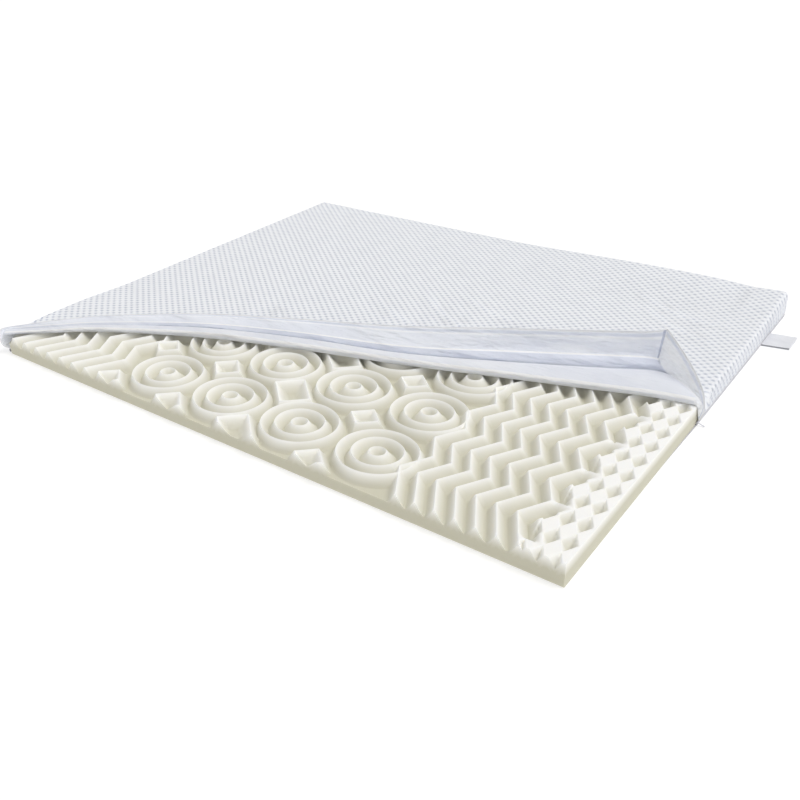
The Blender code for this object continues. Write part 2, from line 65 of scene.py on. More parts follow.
RING_X = 0.648
RING_Y = 0.127
RING_PITCH_X = 0.257
RING_PITCH_Y = 0.2275
RING_COLUMNS = 4
RING_ROWS = 3
RING_PROFILE = (  # radius as a share of half a pitch, share of the deepest groove
    (0.00, 0.95),
    (0.08, 0.72),
    (0.18, 0.02),
    (0.38, 0.90),
    (0.54, 0.00),
    (0.69, 0.90),
    (0.85, 0.00),
    (0.99, 0.95),
)
FRAMES = (  # half the frame's size along its rising and its falling direction, in the same shares
    (0.25, 0.25),
    (0.27, 0.30),
    (0.34, 0.47),
    (0.25, 0.25),
)
FRAME_FOOT = 0.16
FRAME_FLOOR = 0.95
PIT_SLOPE = 0.25
PIT_DEEP = 0.9

ZIG_SWING = 0.045
ZIG_STEP = 0.0755
ZIG_Y = 0.031
LEFT_RIB_X = 0.068
LEFT_RIB_PITCH = 0.061
RIGHT_RIB_X = 1.502
RIGHT_RIB_PITCH = 0.0538
RIBS = 7

DIMPLE_X = 1.971
DIMPLE_Y = 0.070
DIMPLE_PITCH_X = 0.0425
DIMPLE_PITCH_Y = 0.0735
DIMPLE_COLUMNS = 3
DIMPLE_DEEP = 0.9
TURN_SHARE = 0.25

COVER_THICK = 0.002
COVER_TOP = FOAM_TOP + GAP + COVER_THICK / 2
COVER_ROUND = 0.014
COVER_RIGHT = LENGTH - COVER_ROUND
COVER_BACK = WIDTH - COVER_ROUND
WALL_BOTTOM = 0.0149
WALL_INSET = COVER_THICK / 2
WALL_ROUND = COVER_ROUND - WALL_INSET
WALL_REACH = WALL_ROUND * math.pi / 2 + COVER_TOP - WALL_ROUND - WALL_BOTTOM
PANEL_SHARE = 8 / 9
SAG_HIGH = 0.003

TURNED = (
    # fold x, fold y, roll, foot x, foot y, foot z, crease x, y, z, edge x, y, z
    (0.014, 0.004, 0.0050, 0.014, 0.026, 0.0760, 0.015, 0.038, 0.0765, 0.018, 0.054, 0.0790),
    (0.130, 0.089, 0.0060, 0.120, 0.112, 0.0755, 0.112, 0.124, 0.0780, 0.100, 0.139, 0.0840),
    (0.262, 0.182, 0.0080, 0.247, 0.208, 0.0750, 0.238, 0.222, 0.0800, 0.222, 0.243, 0.0900),
    (0.569, 0.327, 0.0100, 0.532, 0.368, 0.0760, 0.524, 0.380, 0.0850, 0.500, 0.408, 0.1000),
    (0.893, 0.432, 0.0110, 0.851, 0.481, 0.0770, 0.845, 0.492, 0.0900, 0.814, 0.528, 0.1120),
    (1.205, 0.517, 0.0110, 1.171, 0.566, 0.0770, 1.168, 0.576, 0.0950, 1.144, 0.607, 0.1400),
    (1.487, 0.607, 0.0110, 1.444, 0.680, 0.0770, 1.434, 0.697, 0.1000, 1.423, 0.716, 0.1600),
    (1.752, 0.690, 0.0110, 1.700, 0.800, 0.0770, 1.685, 0.828, 0.1000, 1.679, 0.836, 0.1700),
    (1.879, 0.730, 0.0110, 1.820, 0.862, 0.0770, 1.800, 0.884, 0.1000, 1.790, 0.888, 0.1750),
    (1.986, 0.752, 0.0110, 1.868, 0.862, 0.0800, 1.833, 0.893, 0.0980, 1.840, 0.915, 0.1830),
)
LEFT_TURN = (  # share of the way, edge x, y, z
    (0.00, 0.001, 0.030, WALL_BOTTOM),
    (0.20, 0.001, 0.010, 0.018),
    (0.40, 0.003, -0.006, 0.034),
    (0.60, 0.002, -0.008, 0.056),
    (0.80, -0.004, 0.004, 0.0800),
    (1.00, 0.018, 0.054, 0.0790),
)
RIGHT_TURN = (
    (0.00, 1.999, 0.800, WALL_BOTTOM),
    (0.25, 1.999, 0.778, WALL_BOTTOM),
    (0.50, 2.008, 0.768, 0.030),
    (0.62, 2.011, 0.767, 0.066),
    (0.75, 1.992, 0.785, 0.108),
    (0.88, 1.925, 0.845, 0.150),
    (1.00, 1.840, 0.915, 0.183),
)

CORD = 0.003
CORD_GAP = 0.0006
STRAP_Y = 1.332
STRAP_WIDTH = 0.090
STRAP_REACH = 0.078
STRAP_THICK = 0.0015
STRAP_OPEN = 0.0035
STRAP_SLANT = 0.014
STRAP_STEPS = 12

# ---- sizes of the looks

CREST_ROUND = 0.05
BOTTOM_ROUND = 0.6
FINE_STEP = 0.006
COARSE_STEP = 0.05
SIDE_MARGIN = 0.002
SHARP_ANGLE = 62  # degrees
FLOOR_REACH = 14.0
FLOOR_Z = -0.0002

# The embossed knit: small dimples at the corners and the middles of upright cells this wide and deep.
KNIT_CELL_X = 0.0303
KNIT_CELL_Y = 0.0250
KNIT_STEPS = 3
KNIT_HIGH = 0.0006
KNIT_DEEP = 0.0017
WALL_RELIEF = 2.2
# Painted shade on the knit of the side walls where they hang down.
HANGING_WALL_SHADE = -0.7


def centred(point):
    return Vector(point) - Vector((LENGTH / 2, WIDTH / 2, 0))


# ---- camera, light and floor

CAMERA_LENS = 39.705
CAMERA_PLACE = (1.565103, -2.095981, 1.269679)
CAMERA_AXES = (  # right, up and back
    (0.809202, 0.586739, -0.030472),
    (-0.273929, 0.422656, 0.863901),
    (0.519764, -0.690724, 0.502739),
)
WORLD_STRENGTH = 0.52
FLOOR_GLOW = 0.52


def add_object(name, data):
    obj = bpy.data.objects.new(name, data)
    bpy.context.scene.collection.objects.link(obj)
    return obj


def add_camera():
    data = bpy.data.cameras.new("camera")
    data.sensor_width = 36.0
    data.lens = CAMERA_LENS
    camera = add_object("camera", data)
    turned = Matrix(CAMERA_AXES).transposed().to_4x4()
    camera.matrix_world = Matrix.Translation(CAMERA_PLACE) @ turned
    bpy.context.scene.camera = camera


def add_light(name, towards, spread, strength, colour):
    """A wide soft lamp that lights everything alike from one side."""
    data = bpy.data.lights.new(name, "SUN")
    data.angle = math.radians(spread)
    data.energy = strength
    data.color = colour
    light = add_object(name, data)
    direction = Vector(towards).normalized()
    light.location = direction * LENGTH
    light.rotation_euler = direction.to_track_quat("Z", "Y").to_euler()


def add_world():
    world = bpy.data.worlds.new("studio")
    world.use_nodes = True
    background = world.node_tree.nodes["Background"]
    background.inputs["Color"].default_value = (1.0, 1.0, 1.0, 1.0)
    background.inputs["Strength"].default_value = WORLD_STRENGTH
    bpy.context.scene.world = world
    bpy.context.scene.view_settings.view_transform = "Standard"


# ---- materials


class Paint:
    """A Principled material whose nodes are added one by one."""

    def __init__(self, name, roughness, sheen=0.0):
        self.material = bpy.data.materials.new(name)
        self.material.use_nodes = True
        self.nodes = self.material.node_tree.nodes
        self.link = self.material.node_tree.links.new
        self.shader = self.nodes["Principled BSDF"]
        self.set("Roughness", roughness)
        self.set("Metallic", 0.0)
        self.set("Specular IOR Level", 0.25)
        self.set("Sheen Weight", sheen)
        self.set("Sheen Roughness", 0.5)
        self.place = self.nodes.new("ShaderNodeTexCoord").outputs["Object"]
        self.bump = None

    def set(self, socket, value):
        self.shader.inputs[socket].default_value = value

    def node(self, kind, **values):
        made = self.nodes.new(kind)
        for key, value in values.items():
            if key in made.inputs:
                made.inputs[key].default_value = value
            else:
                setattr(made, key, value)
        return made

    def maths(self, operation, *values):
        made = self.node("ShaderNodeMath", operation=operation)
        for slot, value in zip(made.inputs, values):
            if isinstance(value, (int, float)):
                slot.default_value = value
            else:
                self.link(value, slot)
        return made.outputs[0]

    def noise(self, scale, detail=3.0, place=None):
        made = self.node("ShaderNodeTexNoise", Scale=scale, Detail=detail)
        self.link(place or self.place, made.inputs["Vector"])
        return made.outputs["Fac"]

    def attribute(self, name):
        return self.node("ShaderNodeAttribute", attribute_name=name).outputs["Fac"]

    def colour(self, factor, *stops):
        """Gives the base colour by a ramp of a factor."""
        made = self.node("ShaderNodeValToRGB")
        elements = made.color_ramp.elements
        while len(elements) < len(stops):
            elements.new(0.5)
        for element, (at, colour) in zip(elements, stops):
            element.position = at
            element.color = (*colour, 1.0)
        self.link(factor, made.inputs["Fac"])
        self.link(made.outputs["Color"], self.shader.inputs["Base Color"])

    def raise_by(self, height, distance, strength=1.0):
        """Adds one more layer of bump on top of the earlier ones."""
        made = self.node("ShaderNodeBump", Strength=strength, Distance=distance)
        self.link(height, made.inputs["Height"])
        if self.bump:
            self.link(self.bump, made.inputs["Normal"])
        self.bump = made.outputs["Normal"]
        self.link(self.bump, self.shader.inputs["Normal"])

    def let_light_through(self, weight, radius, scale):
        self.set("Subsurface Weight", weight)
        self.set("Subsurface Radius", radius)
        self.set("Subsurface Scale", scale)


def foam_material():
    """Open-cell foam with painted shade by height: paler on its crests, darker and yellower down in the
    grooves and on the cut sides.
    """
    paint = Paint("foam", 0.92)
    pores = paint.noise(900.0, 2.0)
    blotches = paint.noise(9.0, 3.0)
    mixed = paint.maths("MULTIPLY_ADD", pores, 0.08, paint.maths("MULTIPLY", blotches, 0.10))
    tone = paint.maths("ADD", paint.attribute("raised"), paint.maths("SUBTRACT", mixed, 0.09))
    # Painted shade: the low stop is the shade of the grooves and cut sides, warmed like bounced light, and
    # the high stop is the lit crests.
    low, middle, high = (0.60, 0.58, 0.465), (0.81, 0.80, 0.735), (0.95, 0.945, 0.91)
    paint.colour(tone, (0.0, low), (0.6, middle), (0.95, high))
    paint.raise_by(pores, 0.0006, 0.5)
    paint.let_light_through(0.5, (1.0, 0.97, 0.88), 0.012)
    return paint.material


def knit_material():
    paint = Paint("embossed_knit", 0.85, 0.15)
    cloth = paint.node("ShaderNodeUVMap", uv_map="cloth").outputs["UV"]
    split = paint.node("ShaderNodeSeparateXYZ")
    paint.link(cloth, split.inputs[0])
    across = paint.maths("MULTIPLY", split.outputs["X"], 2 * math.pi / KNIT_CELL_X)
    along = paint.maths("MULTIPLY", split.outputs["Y"], 2 * math.pi / KNIT_CELL_Y)
    waves = paint.maths("MULTIPLY", paint.maths("COSINE", across), paint.maths("COSINE", along))
    dip = paint.maths("SMOOTH_MAX", paint.maths("MULTIPLY_ADD", waves, 0.5, 0.5), 0.0, 0.1)
    dip = paint.maths("POWER", dip, 2.5)
    yarns = paint.node("ShaderNodeTexWave", Scale=260.0, Distortion=0.6, Detail=1.0)
    paint.link(cloth, yarns.inputs["Vector"])
    blotches = paint.noise(14.0, 3.0)
    # Painted shade: the dimples are made darker in colour, on top of the relief and the bump.
    shade = paint.maths("MULTIPLY_ADD", dip, -1.1, paint.maths("MULTIPLY_ADD", blotches, 0.25, 0.82))
    # The mark adds the turned part's stitching and tape, its painted highlight, shade and light, and
    # painted shade on the hanging side walls.
    shade = paint.maths("MULTIPLY_ADD", paint.attribute("mark"), 0.3, shade)
    paint.colour(shade, (0.0, (0.56, 0.59, 0.69)), (0.9, (0.91, 0.935, 0.985)))
    paint.raise_by(paint.maths("MULTIPLY", dip, -1.0), 0.0012, 0.8)
    paint.raise_by(yarns.outputs["Fac"], 0.0003, 0.35)
    paint.let_light_through(0.45, (1.0, 1.0, 1.0), 0.006)
    return paint.material


def lining_material():
    """Smooth bluish knit: its mark is 1 along stitched seams, below 0 on tape, below 0 in the trough as
    painted shade, and above 0 on the hem's crest as a painted highlight and over the right end's turned
    wall as painted light.
    """
    paint = Paint("smooth_lining", 0.7, 0.2)
    blotches = paint.noise(7.0, 3.0)
    fine = paint.noise(700.0, 2.0)
    stretched = paint.node("ShaderNodeMapping", Scale=(2.2, 7.0, 16.0))
    paint.link(paint.place, stretched.inputs["Vector"])
    folds = paint.noise(1.6, 4.0, stretched.outputs["Vector"])
    # Painted shade: streaks of the folds' noise darken the colour like the shade of soft crumples, besides
    # their bump.
    painted_fold_shade = paint.maths("MULTIPLY_ADD", folds, 0.24, 0.30)
    patches = paint.maths("MULTIPLY_ADD", blotches, 0.16, painted_fold_shade)
    tone = paint.maths("MULTIPLY_ADD", paint.attribute("mark"), 0.5, patches)
    dark, middle = (0.36, 0.39, 0.49), (0.74, 0.77, 0.87)
    pale, stitched = (0.86, 0.885, 0.95), (0.96, 0.965, 0.98)
    paint.colour(tone, (0.0, dark), (0.42, middle), (0.58, pale), (0.95, stitched))
    paint.raise_by(folds, 0.04, 0.9)
    paint.raise_by(fine, 0.0002, 0.3)
    paint.let_light_through(0.6, (1.0, 1.0, 1.0), 0.006)
    return paint.material


def plain_material(name, low, high, roughness, scale, depth):
    """Woven or braided cloth: two crossed waves under a slight change of colour."""
    paint = Paint(name, roughness, 0.1)
    heights = []
    for direction in ("X", "Y"):
        wave = paint.node("ShaderNodeTexWave", Scale=scale, Distortion=0.3, bands_direction=direction)
        paint.link(paint.place, wave.inputs["Vector"])
        heights.append(wave.outputs["Fac"])
    blotches = paint.noise(20.0, 2.0)
    paint.colour(blotches, (0.3, low), (0.7, high))
    paint.raise_by(paint.maths("MULTIPLY", *heights), depth, 0.5)
    return paint.material


def plastic_material():
    paint = Paint("zip_plastic", 0.35)
    wear = paint.noise(400.0, 2.0)
    paint.colour(wear, (0.3, (0.62, 0.62, 0.67)), (0.7, (0.70, 0.70, 0.74)))
    paint.raise_by(wear, 0.0001, 0.2)
    return paint.material


def floor_material():
    """Pale, with a slight glow of its own that keeps it white close to the topper."""
    paint = Paint("pale_floor", 0.9)
    grain = paint.noise(3.0, 2.0)
    paint.colour(grain, (0.3, (0.54, 0.54, 0.54)), (0.7, (0.56, 0.56, 0.56)))
    paint.set("Emission Color", (1.0, 1.0, 1.0, 1.0))
    paint.set("Emission Strength", FLOOR_GLOW)
    return paint.material


# ---- shapes in general


def add_piece(name, verts, faces, materials, kinds=None):
    mesh = bpy.data.meshes.new(name)
    mesh.from_pydata(verts, [], faces)
    for made in materials:
        mesh.materials.append(made)
    if kinds:
        mesh.polygons.foreach_set("material_index", kinds)
    mesh.update()
    mesh.shade_smooth()
    obj = add_object(name, mesh)
    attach(obj, "root")
    return obj


def mesh_of(name, bm, finish):
    mesh = bpy.data.meshes.new(name)
    bmesh.ops.recalc_face_normals(bm, faces=bm.faces)
    bm.to_mesh(mesh)
    bm.free()
    mesh.materials.append(finish)
    return mesh


def write_attribute(mesh, name, values):
    mesh.attributes.new(name, "FLOAT", "POINT").data.foreach_set("value", values)


def pull_out(bm, edges):
    """Extrudes some edges, and returns the new points and the new edges."""
    made = bmesh.ops.extrude_edge_only(bm, edges=edges)["geom"]
    points = [item for item in made if isinstance(item, bmesh.types.BMVert)]
    return points, [item for item in made if isinstance(item, bmesh.types.BMEdge)]


def squares(lines):
    """The squares between neighbouring lines of points."""
    for near, far in zip(lines, lines[1:]):
        yield from zip(near, near[1:], far[1:], far)


def read_table(rows, at):
    """The row of a table at a place in its first column, by straight lines between rows."""
    if at <= rows[0][0]:
        return rows[0][1:]
    for low, high in zip(rows, rows[1:]):
        if at <= high[0]:
            share = (at - low[0]) / (high[0] - low[0])
            return tuple(a + (b - a) * share for a, b in zip(low[1:], high[1:]))
    return rows[-1][1:]


def smooth_row(rows, place):
    """A row between the rows of a table, on smooth curves through all of them."""
    first = min(int(place), len(rows) - 2)
    t = place - first
    before = rows[max(first - 1, 0)]
    after = rows[min(first + 2, len(rows) - 1)]
    return tuple(
        0.5 * (2 * b + (c - a) * t + (2 * a - 5 * b + 4 * c - d) * t**2 + (3 * b - a - 3 * c + d) * t**3)
        for a, b, c, d in zip(before, rows[first], rows[first + 1], after)
    )


def smooth_table(rows, at):
    """As read_table, but on smooth curves through the rows."""
    for first, (low, high) in enumerate(zip(rows, rows[1:])):
        if at <= high[0]:
            place = first + max(at - low[0], 0.0) / (high[0] - low[0])
            return smooth_row([row[1:] for row in rows], place)
    return rows[-1][1:]


# ---- foam relief


def eased(t):
    """The way from a narrow crest at 0 down to the rounder bottom of a groove at 1."""
    t = min(max(t, 0.0), 1.0)
    start = (math.hypot(t, CREST_ROUND) - CREST_ROUND) / (math.hypot(1, CREST_ROUND) - CREST_ROUND)
    return start + BOTTOM_ROUND * (math.sin(math.pi / 2 * start) - start)


def zig(y):
    turn = (y - ZIG_Y) / ZIG_STEP
    return ZIG_SWING * (1 - turn if turn < 0 else abs(turn % 2 - 1))


def from_motif(x, y, column, row):
    """How far a place is from a motif's middle, across and along, as shares of half a pitch."""
    across = (x - RING_X - column * RING_PITCH_X) / (RING_PITCH_X / 2)
    return across, (y - RING_Y - row * RING_PITCH_Y) / (RING_PITCH_Y / 2)


def ring_place(x, y):
    """The nearest ring motif, and the distance from its middle."""
    column = min(max(round((x - RING_X) / RING_PITCH_X), 0), RING_COLUMNS - 1)
    row = max(round((y - RING_Y) / RING_PITCH_Y), 0)
    return (column, row), math.hypot(*from_motif(x, y, column, row))


def ring_share(x, y):
    radius = ring_place(x, y)[1]
    for (low, start), (high, end) in zip(RING_PROFILE, RING_PROFILE[1:]):
        if radius <= high:
            t = (radius - low) / (high - low)
            if start < end:
                return start + (end - start) * eased(t)
            return end + (start - end) * eased(1 - t)
    return RING_PROFILE[-1][1]


def frame_share(x, y):
    """Groove depth at the square frames between the rings, with a sharp rim round each pit."""
    gap = min(max(round((x - RING_X) / RING_PITCH_X + 0.5), 0), len(FRAMES) - 1)
    row = round((y - RING_Y) / RING_PITCH_Y + 0.5)
    across, along = from_motif(x, y, gap - 0.5, row - 0.5)
    rising, falling = FRAMES[gap]
    up, down = abs(across + along) / math.sqrt(2), abs(across - along) / math.sqrt(2)
    past_rim = max(up - rising, down - falling)
    if past_rim > 0:
        return FRAME_FLOOR * eased(past_rim / FRAME_FOOT)
    return PIT_DEEP * eased(-past_rim / PIT_SLOPE)


def rib_share(place):
    rib = min(max(round(place), 0), RIBS - 1)
    return eased(2 * abs(place - rib))


def dimple_share(x, y):
    """Groove depth among the dimples: pits like upturned pyramids, which touch at their corners."""
    column = (x - DIMPLE_X) / DIMPLE_PITCH_X
    row = (y - DIMPLE_Y) / DIMPLE_PITCH_Y
    from_middle = 2 * abs(column - round(column)) + 2 * abs(row - round(row))
    return DIMPLE_DEEP * eased(1 - from_middle)


def last_groove(place, y):
    """The groove right of the last rib, which runs out at each of the rib's right-hand turns."""
    from_turn = (1 - zig(y) / ZIG_SWING) / TURN_SHARE
    return DIMPLE_DEEP * eased(1 - 2 * abs(place - RIBS + 0.5)) * min(from_turn, 1.0)


def right_share(x, y):
    place = (x - zig(y) - RIGHT_RIB_X) / RIGHT_RIB_PITCH
    if x > DIMPLE_X + DIMPLE_PITCH_X / 2:
        return 0.0
    if place > RIBS - 1:
        return min(rib_share(place), max(dimple_share(x, y), last_groove(place, y)))
    return rib_share(place)


def left_share(x, y):
    return rib_share((x - ZIG_SWING + zig(y) - LEFT_RIB_X) / LEFT_RIB_PITCH)


def shares(x, y):
    return left_share(x, y), ring_share(x, y), right_share(x, y), frame_share(x, y)


def fold_y(x):
    return read_table([row[:2] for row in TURNED], x)[0]


def relief_end(x):
    return fold_y(x) + RELIEF_UNDER_FLAP


def rounding(distance):
    if distance >= FOAM_ROUND:
        return 0.0
    return FOAM_ROUND - math.sqrt(FOAM_ROUND**2 - (FOAM_ROUND - max(distance, 0.0)) ** 2)


def inward(x, y):
    side = min(x, LENGTH - x) - FOAM_INSET
    back = WIDTH - FOAM_INSET - y
    if side < FOAM_CORNER and back < FOAM_CORNER:
        return FOAM_CORNER - math.hypot(FOAM_CORNER - side, FOAM_CORNER - back)
    return min(side, back)


def foam_height(x, y):
    shown = min(max((relief_end(x) - y) / RELIEF_FADE, 0.0), 1.0)
    covered = min(max((y - fold_y(x) - 0.02) / 0.02, 0.0), 1.0)
    drop = rounding(inward(x, y)) * covered
    relief = GROOVE_DEEP * min(shares(x, y)) * shown if shown else 0.0
    return FOAM_TOP - max(relief, drop)


# Net lines beside the crests and in the grooves, as shares of half a pitch.
BESIDE_CREST = (0.0, 0.012, 0.03, 0.06, 0.10)
BESIDE_GROOVE = (0.0, 0.035)
RIB_LINES = (0.0, 0.03, 0.08, 0.16, 0.30, 0.42, 0.50)
LAST_GROOVE_LINES = (0.60, 0.75, 0.88, 0.96, 1.0)
DIMPLE_LINES = (0.3, 0.6, 0.85, 0.95, 1.0, 1.05)


def both_sides(shares_away):
    return sorted({side * away for away in shares_away for side in (-1, 1)})


def ring_net():
    radii = [0.04, 0.08]
    for radius, share in RING_PROFILE[2:]:
        beside = BESIDE_CREST if share < 0.5 else BESIDE_GROOVE
        radii += [radius + away for away in both_sides(beside)]
    for column in range(RING_COLUMNS):
        for row in range(RING_ROWS):
            x = RING_X + column * RING_PITCH_X
            y = RING_Y + row * RING_PITCH_Y
            for radius in radii:
                sides = 24 + 4 * round(18 * radius)
                line = []
                for k in range(sides + 1):
                    angle = 2 * math.pi * k / sides
                    across = x + radius * RING_PITCH_X / 2 * math.cos(angle)
                    line.append((across, y + radius * RING_PITCH_Y / 2 * math.sin(angle)))
                yield line, 1, (column, row)


def frame_net():
    for gap, (rising, falling) in enumerate(FRAMES):
        x = RING_X + (gap - 0.5) * RING_PITCH_X
        for row in range(RING_ROWS + 1):
            y = RING_Y + (row - 0.5) * RING_PITCH_Y
            for away in both_sides(BESIDE_CREST + (0.15,)):
                line = []
                for side, end in ((1, 1), (1, -1), (-1, -1), (-1, 1), (1, 1)):
                    up, down = side * (rising + away), end * (falling + away)
                    across, along = (up + down) / math.sqrt(2), (up - down) / math.sqrt(2)
                    line.append((x + across * RING_PITCH_X / 2, y + along * RING_PITCH_Y / 2))
                yield spread_points(line, 0.008), 3, None


def rib_net():
    steps = 8
    ys = [ZIG_Y + (k / steps - 1) * ZIG_STEP for k in range(13 * steps)]
    for rib in range(RIBS):
        for share in both_sides(RIB_LINES):
            left = LEFT_RIB_X + (rib + share) * LEFT_RIB_PITCH
            right = RIGHT_RIB_X + (rib + share) * RIGHT_RIB_PITCH
            yield [(left + ZIG_SWING - zig(y), y) for y in ys], 0, None
            yield [(right + zig(y), y) for y in ys], 2, None
    for share in LAST_GROOVE_LINES:
        right = RIGHT_RIB_X + (RIBS - 1 + share) * RIGHT_RIB_PITCH
        yield [(right + zig(y), y) for y in ys], 2, None


def dimple_net():
    for column in range(DIMPLE_COLUMNS):
        x = DIMPLE_X - column * DIMPLE_PITCH_X
        for row in range(-1, 12):
            y = DIMPLE_Y + row * DIMPLE_PITCH_Y
            for share in DIMPLE_LINES:
                wide, deep = share * DIMPLE_PITCH_X / 2, share * DIMPLE_PITCH_Y / 2
                line = [(x + wide, y), (x, y + deep), (x - wide, y), (x, y - deep), (x + wide, y)]
                yield spread_points(line, 0.007), 2, None


def owned(point, field, motif):
    """Whether a field, and one motif of it, gives the foam its height there."""
    here = shares(*point)
    if here[field] > min(here) + 1e-6:
        return False
    return motif is None or ring_place(*point)[0] == motif


def corner_arc(x, y, radius, start, steps=8):
    angles = [(start + k / steps) * math.pi / 2 for k in range(steps + 1)]
    return [(x + radius * math.cos(a), y + radius * math.sin(a)) for a in angles]


def round_back(centre, radius, start, end):
    """A line up the right side from a start, round both back corners, and down the left side."""
    right = corner_arc(LENGTH - centre, WIDTH - centre, radius, 0)
    left = corner_arc(centre, WIDTH - centre, radius, 1)
    return [(right[0][0], start)] + right + left + [(left[-1][0], end)]


def covered_side(distance):
    """The foam's outline, or a line a distance within it, where the cover hides it."""
    ends = relief_end(LENGTH - FOAM_INSET), relief_end(FOAM_INSET)
    return round_back(FOAM_INSET + FOAM_CORNER, FOAM_CORNER - distance, *ends)


def spread_points(line, step):
    """A line with more points, no further apart than the step."""
    out = [line[0]]
    for a, b in zip(line, line[1:]):
        count = max(math.ceil(math.dist(a, b) / step), 1)
        wide, deep = b[0] - a[0], b[1] - a[1]
        out += [(a[0] + wide * k / count, a[1] + deep * k / count) for k in range(1, count + 1)]
    return out


def foam_outline():
    left, right, front = FOAM_INSET, LENGTH - FOAM_INSET, FOAM_INSET
    centre = FOAM_INSET + FOAM_CORNER
    hooked = corner_arc(centre, centre, FOAM_CORNER, 2, 6)
    front_side = spread_points([hooked[-1], (right, front)], 0.003)
    right_side = spread_points([(right, front), (right, relief_end(right))], 0.006)
    around = covered_side(0.0)
    left_side = spread_points([around[-1], hooked[0]], 0.005)
    return front_side + right_side[1:] + around[1:] + left_side[1:-1] + hooked[:-1]


def foam_net():
    """Plan points and the lines between some of them for the net of the foam's top."""
    left, right = FOAM_INSET, LENGTH - FOAM_INSET
    points = foam_outline()
    edges = [(k, (k + 1) % len(points)) for k in range(len(points))]
    cells = set()
    for line, field, motif in [*ring_net(), *frame_net(), *rib_net(), *dimple_net()]:
        last = None
        for p in line:
            across = left + SIDE_MARGIN < p[0] < right - SIDE_MARGIN
            inside = across and FOAM_INSET + 0.0015 < p[1] < relief_end(p[0]) - 0.004
            if not (inside and owned(p, field, motif)):
                last = None
                continue
            points.append(p)
            cells.add((round(p[0] / FINE_STEP), round(p[1] / FINE_STEP)))
            if last is not None:
                edges.append((last, len(points) - 1))
            last = len(points) - 1
    for ix in range(int(left / FINE_STEP) + 1, math.ceil((right - SIDE_MARGIN) / FINE_STEP)):
        x = ix * FINE_STEP
        for iy in range(2, math.ceil((relief_end(x) - 0.003) / FINE_STEP)):
            if not any((ix + a, iy + b) in cells for a in (-1, 0, 1) for b in (-1, 0, 1)):
                points.append((x, iy * FINE_STEP))
    for line in covered_lines():
        points += line
    return points, edges


def covered_lines():
    """Points where the relief ends under the cover, and down the rounded top edge."""
    xs = [FOAM_INSET + SIDE_MARGIN + k * COARSE_STEP for k in range(40)]
    yield spread_points([(x, relief_end(x)) for x in xs], 0.02)
    for share in (0.1, 0.25, 0.5, 1.0):
        yield spread_points(covered_side(share * FOAM_ROUND), COARSE_STEP)


def raised_share(z):
    """How high a point of the foam lies, from 0 in the deepest groove to 1 on a crest; the foam's painted
    shade is taken from it.
    """
    return min(max(1 - (FOAM_TOP - z) / GROOVE_DEEP, 0.0), 1.0)


def make_foam():
    points, edges = foam_net()
    verts2, _, faces2, _, _, _ = delaunay_2d_cdt([Vector(p) for p in points], edges, [], 1, 1e-5)
    bm = bmesh.new()
    tops = [bm.verts.new(centred((x, y, foam_height(x, y)))) for x, y in verts2]
    for face in faces2:
        bm.faces.new([tops[k] for k in face])
    rim = [edge for edge in bm.edges if edge.is_boundary]
    levels = (0.75, 0.5, 0.25, 0.0)
    for level in levels:
        lowered, made = pull_out(bm, rim)
        rim = [edge for edge in made if edge.is_boundary]
        for vert in lowered:
            vert.co.z = FOAM_BOTTOM + (vert.co.z - FOAM_BOTTOM) * level / (level + 0.25)
    bmesh.ops.holes_fill(bm, edges=[edge for edge in bm.edges if edge.is_boundary], sides=0)
    mesh = mesh_of("foam_block", bm, foam_material())
    mesh.shade_smooth()
    mesh.set_sharp_from_angle(angle=math.radians(SHARP_ANGLE))
    write_attribute(mesh, "raised", [raised_share(vert.co.z) for vert in mesh.vertices])
    obj = add_object("foam_block", mesh)
    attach(obj, "root")
    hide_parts("foam_core")


# ---- the cover's cloth


def soft_step(t):
    t = min(max(t, 0.0), 1.0)
    return t * t * (3 - 2 * t)


def sag(x, y):
    """Soft unevenness of the cloth where it lies on the foam, always upwards."""
    swell = math.sin(5.1 * x + 2.3 * y + 0.4) * math.sin(3.7 * y - 1.9 * x + 1.1)
    inner = min(max(min(x, LENGTH - x, WIDTH - y), 0.0), 0.15) / 0.15
    return SAG_HIGH * max(swell, 0.0) * inner


PUFF = (  # x, how high the cloth stands off the foam along the back
    (1.00, 0.000),
    (1.25, 0.008),
    (1.50, 0.017),
    (1.75, 0.020),
    (1.92, 0.013),
    (2.00, 0.011),
)


def puff(x, y):
    """The cloth stands off the foam along the back, most towards the right, and at the right corner."""
    away = math.hypot(LENGTH - x, WIDTH - y)
    corner = 0.020 * soft_step(1 - away / 0.30)
    behind = smooth_table(PUFF, x)[0] * soft_step(1 - (WIDTH - y) / 0.28)
    left = 0.008 * soft_step(1 - x / 0.2) * soft_step((y - 0.05) / 0.1) * soft_step((0.5 - y) / 0.2)
    return max(corner, behind) + left


CREASES = (  # start x, y, end x, y, height, width
    (0.95, 1.02, 1.35, 0.80, 0.0030, 0.014),
    (1.02, 1.10, 1.42, 0.95, 0.0025, 0.012),
    (0.80, 0.92, 1.22, 0.74, 0.0025, 0.012),
    (1.55, 1.40, 1.90, 1.25, 0.0025, 0.014),
    (1.60, 1.32, 1.95, 1.12, 0.0020, 0.012),
    (0.55, 0.60, 0.70, 0.46, 0.0030, 0.010),
    (0.62, 0.64, 0.78, 0.52, 0.0025, 0.010),
)


def crease_height(x, y):
    """Soft ridges in the lying cloth, each along a line of its own."""
    total = 0.0
    for ax, ay, bx, by, high, wide in CREASES:
        length = math.hypot(bx - ax, by - ay)
        along = ((x - ax) * (bx - ax) + (y - ay) * (by - ay)) / length
        across = ((x - ax) * (by - ay) - (y - ay) * (bx - ax)) / length
        bend = 0.10 * length * math.sin(math.pi * min(max(along / length, 0.0), 1.0))
        ends = soft_step(along / (0.3 * length)) * soft_step((length - along) / (0.3 * length))
        total += high * ends * math.exp(-(((across - bend) / wide) ** 2))
    return total


